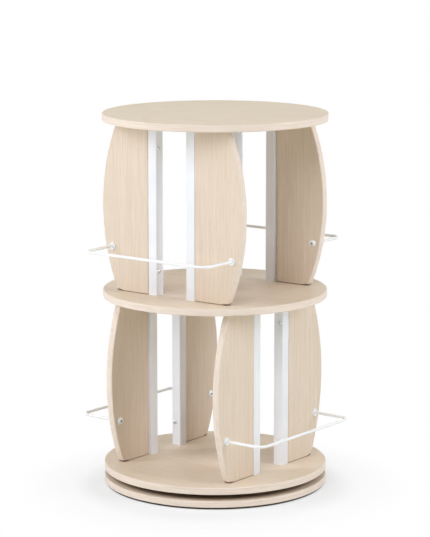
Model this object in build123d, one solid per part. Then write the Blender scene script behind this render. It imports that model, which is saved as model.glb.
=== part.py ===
from build123d import *
import os
from math import sqrt

# Revolving bookcase with two tiers of shelves on a ball-bearing turntable.
# The origin is on the floor under the turning axis, +Z is up.
# The upper tier's two walls run along X and the lower tier's two walls run along Y.

# Boards: the base, and the three that turn above it
disc_radius = 230.0
base_thickness = 14.0
board_thickness = 15.0
board_edge_radius = 2.0
tier_height = 347.0            # clear height between the shelves of a tier

# Feet under the base
foot_radius = 14.0
foot_taper = 1.5               # how much narrower a foot is at the floor
foot_height = 4.0
foot_inset = 30.0              # from the rim of the base to the centre of a foot
foot_count = 6

# Walls: a panel with a bulged outer edge at either end of each
compartment_width = 259.0      # between the inside faces of a tier's two walls
panel_thickness = 15.0
panel_bulge = 38.0             # swell of the outer edge at mid-height
panel_rim_inset = 0.4          # how far the bulge stays inside the rim of the boards
panel_edge_radius = 2.0

# Posts: square tubes against the inner edges of the panels
post_width = 22.0
post_wall = 1.5
post_corner_radius = 2.0
post_inner_radius = 0.5
post_gap = 75.0                # open gap between the two posts of a wall

# Threaded plugs in the ends of the posts
plug_height = 12.0

# Rails: bent wire that stands off the outer face of each wall
wire_diameter = 6.0
rail_height = 90.0             # above the shelf
rail_depth = 87.5              # from the wall's outer face to the middle of the front run
rail_bend_radius = 20.0        # at the middle of the wire
rail_end_inset = 17.5          # from the panel's bulged edge to the end of the rail
rail_flange_radius = 8.0
rail_flange_thickness = 3.0
rail_flange_edge_radius = 1.0

# Rail bolts: domed socket head inside the panel, shank into the end of the wire
rail_bolt_radius = 2.0
rail_bolt_head_radius = 8.0
rail_bolt_head_height = 3.5
rail_bolt_head_edge_radius = 2.0
rail_bolt_socket_radius = 2.9
rail_bolt_socket_depth = 2.2
rail_bolt_bite = 8.0           # length of the bolt in the wire

# Panel screws: through a post into the edge of its panel
panel_screw_radius = 2.2
panel_screw_head_radius = 4.5
panel_screw_head_height = 2.4
panel_screw_head_chamfer = 1.0
panel_screw_inset = 49.0       # from the shelf or board to the nearest screw
panel_screw_bite = 30.0        # length of the screw in the panel

# Flat-head bolts through the boards into the plugs
bolt_radius = 3.0
bolt_head_radius = 6.0
bolt_head_height = 3.3
bolt_bite = 10.0               # length of the bolt in the plug
cap_radius = 8.0               # cap over a bolt head
cap_thickness = 0.8

# Dowels between the panels and the boards
dowel_radius = 4.0
dowel_panel_depth = 20.0
dowel_board_share = 0.4        # of the board's thickness that a dowel enters
dowel_place_shares = (0.2, 0.8)  # along the end of a panel

# Turntable bearing between the base and the bottom shelf
bearing_height = 12.5
track_radius = 96.0
ball_radius = 4.0
ball_count = 24
race_gap = 3.0                 # between the facing sides of the two races
race_width = 16.0
race_flange_width = 26.0
race_flange_thickness = 3.0
rim_width = 4.0                # rim of the lower race, held by the upper race's skirt
rim_thickness = 2.5
skirt_wall = 2.0
skirt_lip_thickness = 1.3
cage_width = 13.0
cage_thickness = 2.0
race_screw_radius = 2.0
race_screw_head_radius = 4.0
race_screw_head_height = 2.2
race_screw_bite = 9.0          # length of the screw in its board
race_screw_count = 4
access_hole_radius = 7.0       # in the base, to reach the upper race's screws

# Clearances
screw_clearance = 0.15         # round a screw, bolt, dowel, cap or plug
hole_end_gap = 0.5             # past the end of a screw, bolt or dowel
ball_clearance = 0.3           # round a ball, in its grooves and its pocket
running_clearance = 0.4        # between the turning skirt and the lower race
cut_overrun = 1.0

# Levels
base_bottom = foot_height
base_top = base_bottom + base_thickness
bottom_shelf_bottom = base_top + bearing_height
lower_floor = bottom_shelf_bottom + board_thickness
middle_shelf_bottom = lower_floor + tier_height
upper_floor = middle_shelf_bottom + board_thickness
top_board_bottom = upper_floor + tier_height
top_board_top = top_board_bottom + board_thickness
bearing_middle = base_top + bearing_height / 2

# Plan of a tier, along its walls and across them
wall_face = compartment_width / 2 + panel_thickness
panel_middle = compartment_width / 2 + panel_thickness / 2
post_along = (post_gap + post_width) / 2
post_across = wall_face - post_width / 2
panel_start = post_gap / 2 + post_width
panel_mid_reach = sqrt((disc_radius - panel_rim_inset) ** 2 - wall_face ** 2)
panel_end_reach = panel_mid_reach - panel_bulge
bulge_radius = ((tier_height / 2) ** 2 + panel_bulge ** 2) / (2 * panel_bulge)
bulge_centre = panel_mid_reach - bulge_radius
rail_level_offset = tier_height / 2 - rail_height
panel_reach_at_rail = bulge_centre + sqrt(bulge_radius ** 2 - rail_level_offset ** 2)
rail_along = panel_reach_at_rail - rail_end_inset
dowel_alongs = [panel_start + share * (panel_end_reach - panel_start) for share in dowel_place_shares]
dowel_board_depth = dowel_board_share * board_thickness

# Bearing section
race_thickness = (bearing_height - race_gap) / 2
race_inner = track_radius - race_width / 2
race_outer = track_radius + race_width / 2
rim_outer = race_outer + rim_width
skirt_inner = rim_outer + running_clearance
lower_flange_inner = race_inner - race_flange_width
upper_flange_outer = race_outer + race_flange_width
lower_screw_circle = race_inner - race_flange_width / 2
upper_screw_circle = (skirt_inner + skirt_wall + upper_flange_outer) / 2

UPRIGHT = (Align.CENTER, Align.CENTER, Align.MIN)
UPSIDE_DOWN = Rot(180, 0, 0)
CORNERS = {"front_left": (-1, -1), "front_right": (1, -1), "back_left": (-1, 1), "back_right": (1, 1)}
LOWER_NAMES = {
    "front_left": "right_front",
    "front_right": "right_back",
    "back_left": "left_front",
    "back_right": "left_back",
}


def rod(radius, length):
    """Upright cylinder on the XY plane."""
    return Cylinder(radius, length, align=UPRIGHT)


def ring(inner, outer, bottom, height):
    """Flat ring round the turning axis."""
    return Pos(0, 0, bottom) * (rod(outer, height) - rod(inner, height))


def flat_head(radius, head_radius, head_height, length, clearance=0.0):
    """Flat-head screw that hangs from the origin, or the room for one."""
    head = Pos(0, 0, -head_height) * Cone(
        radius + clearance, head_radius + clearance, head_height, align=UPRIGHT
    )
    end_gap = hole_end_gap if clearance else 0
    shank_length = length + end_gap
    return head + Pos(0, 0, -shank_length) * rod(radius + clearance, shank_length)


def board_bolt(length, clearance=0.0):
    """Bolt through a board into a post, or the room for one."""
    return flat_head(bolt_radius, bolt_head_radius, bolt_head_height, length, clearance)


def race_screw(clearance=0.0):
    """Screw through a race's flange into its board, or the room for one."""
    length = race_flange_thickness + race_screw_bite
    return flat_head(race_screw_radius, race_screw_head_radius, race_screw_head_height, length, clearance)


def at_corners(piece, along, across):
    """Copies of a round upright piece at the four like places of a tier."""
    return [Pos(sx * along, sy * across, 0) * piece for sx, sy in CORNERS.values()]


def mirrored(piece, corner):
    """Piece of the front right corner, mirrored to another corner of the tier."""
    sx, sy = CORNERS[corner]
    if sx < 0:
        piece = mirror(piece, about=Plane.YZ)
    if sy > 0:
        piece = mirror(piece, about=Plane.XZ)
    return piece


def to_all_corners(piece):
    """Piece of the front right corner and its three mirror images."""
    return [mirrored(piece, corner) for corner in CORNERS]


def group(pieces):
    """Like pieces as one node."""
    return Part() + pieces


def make_board(bottom, thickness=board_thickness):
    """Round board with eased rims."""
    board = Pos(0, 0, bottom) * rod(disc_radius, thickness)
    return fillet(board.edges().filter_by(GeomType.CIRCLE), board_edge_radius)


def dowel_holes():
    """Room for one tier's dowels in a board, from z = 0 up."""
    hole = rod(dowel_radius + screw_clearance, dowel_board_depth + hole_end_gap)
    return [copy for along in dowel_alongs for copy in at_corners(hole, along, panel_middle)]


def make_panel():
    """Panel of the front right corner, standing on z = 0."""
    straight = Polyline(
        (panel_end_reach, 0),
        (panel_start, 0),
        (panel_start, tier_height),
        (panel_end_reach, tier_height),
    )
    bulge = ThreePointArc(
        (panel_end_reach, tier_height), (panel_mid_reach, tier_height / 2), (panel_end_reach, 0)
    )
    outline = Plane.XZ * make_face(straight + bulge)
    panel = Pos(0, -compartment_width / 2, 0) * extrude(outline, panel_thickness)
    panel = fillet(panel.edges().filter_by(GeomType.CIRCLE), panel_edge_radius)
    dowel_hole = rod(dowel_radius + screw_clearance, dowel_panel_depth + hole_end_gap)
    screw_hole = Rot(0, 90, 0) * rod(panel_screw_radius + screw_clearance, panel_screw_bite + hole_end_gap)
    bolt_hole = Rot(90, 0, 0) * rod(rail_bolt_radius + screw_clearance, panel_thickness)
    cuts = [Pos(rail_along, -compartment_width / 2, rail_height) * bolt_hole]
    for along in dowel_alongs:
        cuts.append(Pos(along, -panel_middle, 0) * dowel_hole)
        cuts.append(Pos(along, -panel_middle, tier_height) * UPSIDE_DOWN * dowel_hole)
    for level in (panel_screw_inset, tier_height - panel_screw_inset):
        cuts.append(Pos(panel_start, -panel_middle, level) * screw_hole)
    return panel - cuts


def make_post():
    """Square tube of the front right corner, standing on z = 0."""
    bore = post_width - 2 * post_wall
    section = RectangleRounded(post_width, post_width, post_corner_radius)
    section -= RectangleRounded(bore, bore, post_inner_radius)
    post = Pos(post_along, -post_across, 0) * extrude(section, tier_height)
    hole = Rot(0, 90, 0) * rod(panel_screw_radius + screw_clearance, post_width + 2 * cut_overrun)
    levels = (panel_screw_inset, tier_height - panel_screw_inset)
    return post - [Pos(post_gap / 2 - cut_overrun, -panel_middle, level) * hole for level in levels]


def make_plugs():
    """Threaded plugs in both ends of the front right post."""
    width = post_width - 2 * post_wall - 2 * screw_clearance
    plug = extrude(RectangleRounded(width, width, post_inner_radius), plug_height)
    plug -= rod(bolt_radius + screw_clearance, plug_height)
    return [Pos(post_along, -post_across, level) * plug for level in (0, tier_height - plug_height)]


def make_panel_screws():
    """Two screws through the front right post into its panel."""
    head = rod(panel_screw_head_radius, panel_screw_head_height)
    head = chamfer(head.edges().group_by(Axis.Z)[0], panel_screw_head_chamfer)
    shank = Pos(0, 0, panel_screw_head_height) * rod(panel_screw_radius, post_width + panel_screw_bite)
    screw = Rot(0, 90, 0) * (head + shank)
    start = post_gap / 2 - panel_screw_head_height
    levels = (panel_screw_inset, tier_height - panel_screw_inset)
    return [Pos(start, -panel_middle, level) * screw for level in levels]


def make_dowels():
    """Four dowels of the front right panel, two in each end."""
    dowel = Pos(0, 0, -dowel_board_depth) * rod(dowel_radius, dowel_board_depth + dowel_panel_depth)
    dowels = []
    for along in dowel_alongs:
        dowels.append(Pos(along, -panel_middle, 0) * dowel)
        dowels.append(Pos(along, -panel_middle, tier_height) * UPSIDE_DOWN * dowel)
    return dowels


def make_rail():
    """Wire rail of the front wall, from one panel round to the other."""
    run = wall_face + rail_depth
    path = FilletPolyline(
        (rail_along, -wall_face, rail_height),
        (rail_along, -run, rail_height),
        (-rail_along, -run, rail_height),
        (-rail_along, -wall_face, rail_height),
        radius=rail_bend_radius,
    )
    section = Plane(origin=path @ 0, z_dir=path % 0) * Circle(wire_diameter / 2)
    wire = sweep(section, path=path)
    hole = Rot(90, 0, 0) * rod(rail_bolt_radius + screw_clearance, rail_bolt_bite + hole_end_gap)
    return wire - [Pos(side * rail_along, -wall_face, rail_height) * hole for side in (-1, 1)]


def make_rail_flange():
    """Flange round the front right end of a rail, against the panel's outer face."""
    flange = rod(rail_flange_radius, rail_flange_thickness)
    flange = fillet(flange.edges().group_by(Axis.Z)[-1], rail_flange_edge_radius)
    flange -= rod(wire_diameter / 2 + screw_clearance, rail_flange_thickness)
    return Pos(rail_along, -wall_face, rail_height) * Rot(90, 0, 0) * flange


def make_rail_bolt():
    """Bolt from inside the front right panel into the end of its rail."""
    head = Pos(0, 0, -rail_bolt_head_height) * rod(rail_bolt_head_radius, rail_bolt_head_height)
    head = fillet(head.edges().group_by(Axis.Z)[0], rail_bolt_head_edge_radius)
    socket = extrude(RegularPolygon(rail_bolt_socket_radius, 6), rail_bolt_socket_depth)
    head -= Pos(0, 0, -rail_bolt_head_height) * socket
    bolt = head + rod(rail_bolt_radius, panel_thickness + rail_bolt_bite)
    return Pos(rail_along, -compartment_width / 2, rail_height) * Rot(90, 0, 0) * bolt


def race_screw_places(circle):
    """Screw places on a race's flange, clear of the posts' bolts."""
    return PolarLocations(circle, race_screw_count, start_angle=180 / race_screw_count)


def make_lower_race():
    """Race on the base, with its flange inside and its rim outside the track."""
    race = ring(race_inner, race_outer, base_top, race_thickness)
    race += ring(lower_flange_inner, race_inner, base_top, race_flange_thickness)
    rim_top = base_top + race_thickness
    race += ring(race_outer, rim_outer, rim_top - rim_thickness, rim_thickness)
    race -= Pos(0, 0, bearing_middle) * Torus(track_radius, ball_radius + ball_clearance)
    room = Pos(0, 0, base_top + race_flange_thickness) * race_screw(screw_clearance)
    return race - [place * room for place in race_screw_places(lower_screw_circle)]


def make_upper_race():
    """Race under the bottom shelf, with a skirt that hooks under the lower race's rim."""
    race = ring(race_inner, race_outer, bottom_shelf_bottom - race_thickness, race_thickness)
    flange_bottom = bottom_shelf_bottom - race_flange_thickness
    race += ring(race_outer, upper_flange_outer, flange_bottom, race_flange_thickness)
    rim_bottom = base_top + race_thickness - rim_thickness
    lip_bottom = rim_bottom - running_clearance - skirt_lip_thickness
    skirt_outer = skirt_inner + skirt_wall
    race += ring(skirt_inner, skirt_outer, lip_bottom, flange_bottom - lip_bottom)
    race += ring(race_outer + running_clearance, skirt_inner, lip_bottom, skirt_lip_thickness)
    race -= Pos(0, 0, bearing_middle) * Torus(track_radius, ball_radius + ball_clearance)
    room = Pos(0, 0, flange_bottom) * UPSIDE_DOWN * race_screw(screw_clearance)
    return race - [place * room for place in race_screw_places(upper_screw_circle)]


def make_cage():
    """Ring between the races that keeps the balls apart."""
    bottom = bearing_middle - cage_thickness / 2
    cage = ring(track_radius - cage_width / 2, track_radius + cage_width / 2, bottom, cage_thickness)
    pocket = Pos(0, 0, bottom) * rod(ball_radius + ball_clearance, cage_thickness)
    return cage - [place * pocket for place in PolarLocations(track_radius, ball_count)]


def make_feet():
    """Tapered pads under the base."""
    foot = Cone(foot_radius - foot_taper, foot_radius, foot_height, align=UPRIGHT)
    return group([place * foot for place in PolarLocations(disc_radius - foot_inset, foot_count)])


# Where each tier stands: the lower one is turned by a quarter
tiers = {
    "lower": Pos(0, 0, lower_floor) * Rot(0, 0, 90),
    "upper": Pos(0, 0, upper_floor),
}
tier_tops = {tier: Pos(0, 0, tier_height) * tiers[tier] for tier in tiers}

# Lengths of the board bolts, with and without a cap over the head
open_bolt_length = board_thickness + bolt_bite
cap_seat = board_thickness - cap_thickness
capped_bolt_length = cap_seat + bolt_bite


def bolts_from_below(tier, clearance=0.0):
    """Bolts up through the board that carries a tier, or the room for them."""
    bolt = Pos(0, 0, -board_thickness) * UPSIDE_DOWN * board_bolt(open_bolt_length, clearance)
    return [tiers[tier] * copy for copy in at_corners(bolt, post_along, post_across)]


def bolts_from_above(tier, clearance=0.0):
    """Bolts down through the board on a tier, or the room for them."""
    bolt = Pos(0, 0, cap_seat) * board_bolt(capped_bolt_length, clearance)
    return [tier_tops[tier] * copy for copy in at_corners(bolt, post_along, post_across)]


def caps_above(tier, clearance=0.0):
    """Caps over the bolts in the board on a tier, or the recesses for them."""
    cap = Pos(0, 0, cap_seat) * rod(cap_radius + clearance, cap_thickness)
    return [tier_tops[tier] * copy for copy in at_corners(cap, post_along, post_across)]


def dowel_room_below(tier):
    """Dowel holes in the board that carries a tier."""
    return [tiers[tier] * UPSIDE_DOWN * hole for hole in dowel_holes()]


def dowel_room_above(tier):
    """Dowel holes in the board on a tier."""
    return [tier_tops[tier] * hole for hole in dowel_holes()]


nodes = {}

# Base and turntable
lower_screw = Pos(0, 0, base_top + race_flange_thickness) * race_screw()
lower_screw_room = Pos(0, 0, base_top + race_flange_thickness) * race_screw(screw_clearance)
upper_screw_level = Pos(0, 0, bottom_shelf_bottom - race_flange_thickness) * UPSIDE_DOWN
access_hole = list(race_screw_places(upper_screw_circle))[0] * rod(access_hole_radius, base_top + cut_overrun)

base_cuts = [place * lower_screw_room for place in race_screw_places(lower_screw_circle)]
nodes["base_board"] = make_board(base_bottom, base_thickness) - base_cuts - access_hole
nodes["feet"] = make_feet()
nodes["lower_race"] = make_lower_race()
nodes["lower_race_screws"] = group([place * lower_screw for place in race_screw_places(lower_screw_circle)])
nodes["ball_cage"] = make_cage()
ball = Pos(0, 0, bearing_middle) * Sphere(ball_radius)
nodes["bearing_balls"] = group([place * ball for place in PolarLocations(track_radius, ball_count)])
nodes["upper_race"] = make_upper_race()
nodes["upper_race_screws"] = group(
    [place * upper_screw_level * race_screw() for place in race_screw_places(upper_screw_circle)]
)

# Boards that turn
race_room = [
    place * upper_screw_level * race_screw(screw_clearance)
    for place in race_screw_places(upper_screw_circle)
]
nodes["bottom_shelf"] = make_board(bottom_shelf_bottom) - (
    race_room + bolts_from_below("lower", screw_clearance) + dowel_room_below("lower")
)
nodes["middle_shelf"] = make_board(middle_shelf_bottom) - (
    bolts_from_above("lower", screw_clearance)
    + caps_above("lower", screw_clearance)
    + dowel_room_above("lower")
    + bolts_from_below("upper", screw_clearance)
    + dowel_room_below("upper")
)
nodes["top_board"] = make_board(top_board_bottom) - (
    bolts_from_above("upper", screw_clearance)
    + caps_above("upper", screw_clearance)
    + dowel_room_above("upper")
)

# Walls, rails and their fastenings
panel = make_panel()
post = make_post()
rail = make_rail()
for tier, place in tiers.items():
    for corner in CORNERS:
        name = corner if tier == "upper" else LOWER_NAMES[corner]
        nodes[f"{tier}_panel_{name}"] = place * mirrored(panel, corner)
        nodes[f"{tier}_post_{name}"] = place * mirrored(post, corner)
    near, far = ("front", "back") if tier == "upper" else ("right", "left")
    nodes[f"{tier}_rail_{near}"] = place * rail
    nodes[f"{tier}_rail_{far}"] = place * Rot(0, 0, 180) * rail
    nodes[f"{tier}_rail_flanges"] = place * group(to_all_corners(make_rail_flange()))
    nodes[f"{tier}_rail_bolts"] = place * group(to_all_corners(make_rail_bolt()))
    for kind, make_pieces in (
        ("panel_screws", make_panel_screws),
        ("post_plugs", make_plugs),
        ("dowels", make_dowels),
    ):
        copies = [copy for piece in make_pieces() for copy in to_all_corners(piece)]
        nodes[f"{tier}_{kind}"] = place * group(copies)

nodes["bottom_shelf_bolts"] = group(bolts_from_below("lower"))
nodes["middle_shelf_bolts_down"] = group(bolts_from_above("lower"))
nodes["middle_shelf_bolts_up"] = group(bolts_from_below("upper"))
nodes["top_board_bolts"] = group(bolts_from_above("upper"))
nodes["middle_shelf_caps"] = group(caps_above("lower"))
nodes["top_board_caps"] = group(caps_above("upper"))

os.makedirs("parts", exist_ok=True)
for name, node in nodes.items():
    export_step(node, f"parts/{name}.step")
print(len(nodes), "nodes, height", top_board_top, "rail ends at", round(rail_along, 2))
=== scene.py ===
"""Looks of a round two-tier bookcase that turns on a ball bearing.

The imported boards, posts and bearing rings keep their shapes and get their finishes here. The bulged
panels are made again with rounded arrises. The bent wire rails and the small fittings, which repeat,
are made again in finer form by Geometry Nodes. Each new piece stands for its solids. All sizes are in
metres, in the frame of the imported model, unless a line says otherwise.
"""

import logging
import math
from dataclasses import dataclass
from enum import Enum
from functools import cache, cached_property, partial, reduce
from itertools import chain
from typing import Any, Sequence

import bmesh
import bpy
from mathutils import Matrix, Vector


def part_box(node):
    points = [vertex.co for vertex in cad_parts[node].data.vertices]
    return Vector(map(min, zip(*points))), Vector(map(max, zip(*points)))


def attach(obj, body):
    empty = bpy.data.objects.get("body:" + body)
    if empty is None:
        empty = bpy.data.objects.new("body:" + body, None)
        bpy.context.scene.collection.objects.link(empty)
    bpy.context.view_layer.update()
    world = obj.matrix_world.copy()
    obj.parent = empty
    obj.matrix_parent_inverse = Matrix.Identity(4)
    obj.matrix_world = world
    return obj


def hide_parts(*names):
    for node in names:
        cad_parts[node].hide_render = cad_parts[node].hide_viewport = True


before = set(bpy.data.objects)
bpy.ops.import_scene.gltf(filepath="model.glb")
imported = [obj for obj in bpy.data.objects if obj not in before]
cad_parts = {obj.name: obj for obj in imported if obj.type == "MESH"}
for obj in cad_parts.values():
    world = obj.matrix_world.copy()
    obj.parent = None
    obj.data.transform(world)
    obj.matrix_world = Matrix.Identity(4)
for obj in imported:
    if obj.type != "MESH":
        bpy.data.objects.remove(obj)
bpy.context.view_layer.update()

log = logging.getLogger("bookcase")

Colour = tuple[float, float, float, float]
Triple = tuple[float, float, float]
Span = tuple[float, float]
Values = dict[str | int, Any]
Socket = bpy.types.NodeSocket
Material = bpy.types.Material
Piece = bpy.types.Object
Points = list[bmesh.types.BMVert]

# Attribute marking where fittings get painted shade, down in sockets and cross recesses.
RECESS = "recess"
SEEING_RAYS = ("Camera", "Glossy", "Transmission")
WHITE: Colour = (1.0, 1.0, 1.0, 1.0)
UP: Triple = (0.0, 0.0, 1.0)
DOWN: Triple = (0.0, 0.0, -1.0)
POST_PLACE: Span = (0.0485, 0.1335)  # middle of a post, along and across its wall
SCREW_INSET = 0.049                  # panel screws, from either end of a post
MM_IN_METRE = 1000


def paint(*screen: int) -> Colour:
    """Turns a colour as seen on a screen into the linear values that shaders take.

    Args:
        screen: Red, green and blue, 0 to 255.

    Returns:
        Linear red, green, blue and full alpha.
    """
    def linear(share: float) -> float:
        """One channel, by the usual curve of screens."""
        return share / 12.92 if share <= 0.04045 else ((share + 0.055) / 1.055) ** 2.4

    red, green, blue = (linear(value / 255) for value in screen)
    return (red, green, blue, 1.0)


class GrainRun(Enum):
    """Which way the grain of a board runs."""

    UPRIGHT = "along z"
    ALONG_X = "along x"

    def scale(self, stretch: float) -> Triple:
        """Scale of coordinates that draws a pattern out along the grain."""
        return (1.0, 1.0, 1 / stretch) if self is GrainRun.UPRIGHT else (1 / stretch, 1.0, 1.0)


@dataclass(frozen=True)
class Noise:
    """A noise pattern: features in a metre, octaves, weight of the finer ones and the span that counts."""

    scale: float
    detail: float = 2.0
    rough: float = 0.5
    span: Span = (0.3, 0.7)
    stretch: float = 1.0
    offset: Triple = (0.0, 0.0, 0.0)


class NodeTree:
    """Adds and links the nodes of a tree."""

    def __init__(self, tree: bpy.types.NodeTree) -> None:
        """Takes the tree to fill."""
        self.tree = tree

    def node(self, kind: str, values: Values | None = None, **settings: Any) -> bpy.types.Node:
        """Adds a node and fills its inputs.

        Args:
            kind: Node type.
            values: Sockets or constants by the names or numbers of its inputs.
            settings: Properties to set on it first.

        Returns:
            The new node.
        """
        made = self.tree.nodes.new(kind)
        for key, value in settings.items():
            setattr(made, key, value)
        for key, value in (values or {}).items():
            if isinstance(value, bpy.types.NodeSocket):
                self.tree.links.new(value, made.inputs[key])
            else:
                made.inputs[key].default_value = value
        return made

    def out(self, kind: str, values: Values | None = None, **settings: Any) -> Socket:
        """Adds a node and gives its first output."""
        return self.node(kind, values, **settings).outputs[0]

    def maths(self, operation: str, first: Any, second: Any = 0.0) -> Socket:
        """Adds a Math node on sockets or numbers."""
        return self.out("ShaderNodeMath", {0: first, 1: second}, operation=operation)

    def times(self, first: Any, second: Any) -> Socket:
        """Multiplies two values."""
        return self.maths("MULTIPLY", first, second)

    def minus(self, first: Any, second: Any) -> Socket:
        """Takes the second value from the first."""
        return self.maths("SUBTRACT", first, second)

    def joined(self, x: Any, y: Any, z: Any) -> Socket:
        """Makes a vector of sockets or numbers."""
        return self.out("ShaderNodeCombineXYZ", {0: x, 1: y, 2: z})

    def parts(self, vector: Socket) -> tuple[Socket, ...]:
        """Splits a vector into x, y and z."""
        return tuple(self.node("ShaderNodeSeparateXYZ", {0: vector}).outputs)


class ShaderTree(NodeTree):
    """The nodes of one material or of the world."""

    def __init__(self, owner: Material | bpy.types.World) -> None:
        """Starts with an empty tree.

        Args:
            owner: What the nodes belong to.
        """
        owner.use_nodes = True
        super().__init__(owner.node_tree)
        self.owner = owner
        self.tree.nodes.clear()

    @cached_property
    def place(self) -> Socket:
        """Object coordinates, which are the places in the frame."""
        return self.node("ShaderNodeTexCoord").outputs["Object"]

    def looked_at(self) -> Socket:
        """1 where the camera or a reflection sees the surroundings, directly or through something clear."""
        path = self.node("ShaderNodeLightPath").outputs
        return reduce(partial(self.maths, "MAXIMUM"), (path[f"Is {ray} Ray"] for ray in SEEING_RAYS))

    def length(self, first: Any, second: Any) -> Socket:
        """Length of a flat vector, from its two parts."""
        return self.maths("SQRT", self.maths("ADD", self.times(first, first), self.times(second, second)))

    def weighted(self, *terms: tuple[Any, float]) -> Socket:
        """Adds up values, each times its weight."""
        return reduce(partial(self.maths, "ADD"), (self.times(*term) for term in terms))

    def stretched(self, vector: Socket, scale: Triple, offset: Triple) -> Socket:
        """Scales coordinates on each axis, then moves them."""
        return self.out("ShaderNodeMapping", {"Vector": vector, "Scale": scale, "Location": offset})

    def noise(self, pattern: Noise, place: Socket | None = None,
              grain: GrainRun = GrainRun.UPRIGHT) -> Socket:
        """Draws a noise pattern.

        Args:
            pattern: The pattern.
            place: Coordinates, if other than the places in the frame.
            grain: Which way it is drawn out, where it is.

        Returns:
            The noise, about 0.5 in the middle.
        """
        place = self.place if place is None else place
        if pattern.stretch != 1.0:
            place = self.stretched(place, grain.scale(pattern.stretch), pattern.offset)
        return self.node("ShaderNodeTexNoise", {
            "Vector": place, "Scale": pattern.scale, "Detail": pattern.detail, "Roughness": pattern.rough,
        }).outputs["Fac"]

    def spread(self, value: Any, span: Span, low: float = 0.0, high: float = 1.0) -> Socket:
        """Maps a span of values to the range from low to high, smoothly and clamped."""
        values = dict(enumerate((value, *span, low, high)))
        return self.out("ShaderNodeMapRange", values, interpolation_type="SMOOTHSTEP")

    def mixed(self, share: Any, first: Any, second: Any) -> Socket:
        """Mixes two colours, by the share of the second."""
        return self.node("ShaderNodeMix", {0: share, 6: first, 7: second}, data_type="RGBA").outputs[2]

    def either(self, share: Socket, first: Socket, second: Socket) -> Socket:
        """Mixes two shaders, by the share of the second."""
        return self.out("ShaderNodeMixShader", {0: share, 1: first, 2: second})

    def bump(self, height: Socket, strength: float, distance: float) -> Socket:
        """Turns a pattern into relief of a depth, by a share of it."""
        return self.out("ShaderNodeBump", {"Height": height, "Strength": strength, "Distance": distance})


class TapedEdge(Enum):
    """Which edge of a board carries the edging tape."""

    ROUND_RIM = "round rim"
    BULGE_ALONG_X = "bulged edges at the two ends of a wall along x"
    BULGE_ALONG_Y = "bulged edges at the two ends of a wall along y"


@dataclass(frozen=True)
class Finish:
    """A finish, with the slot of the record that it belongs to."""

    name: str
    slot: str

    @cache
    def material(self) -> Material:
        """Builds the material, once for all pieces that share the finish.

        Returns:
            The finished material.
        """
        tree = ShaderTree(bpy.data.materials.new(self.name))
        shader = tree.out("ShaderNodeBsdfPrincipled", self.sockets(tree))
        tree.node("ShaderNodeOutputMaterial", {"Surface": shader})
        return tree.owner

    def sockets(self, tree: ShaderTree) -> Values:
        """Sockets or constants for the shader, by the names of its inputs."""
        raise NotImplementedError(self.name)


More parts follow.
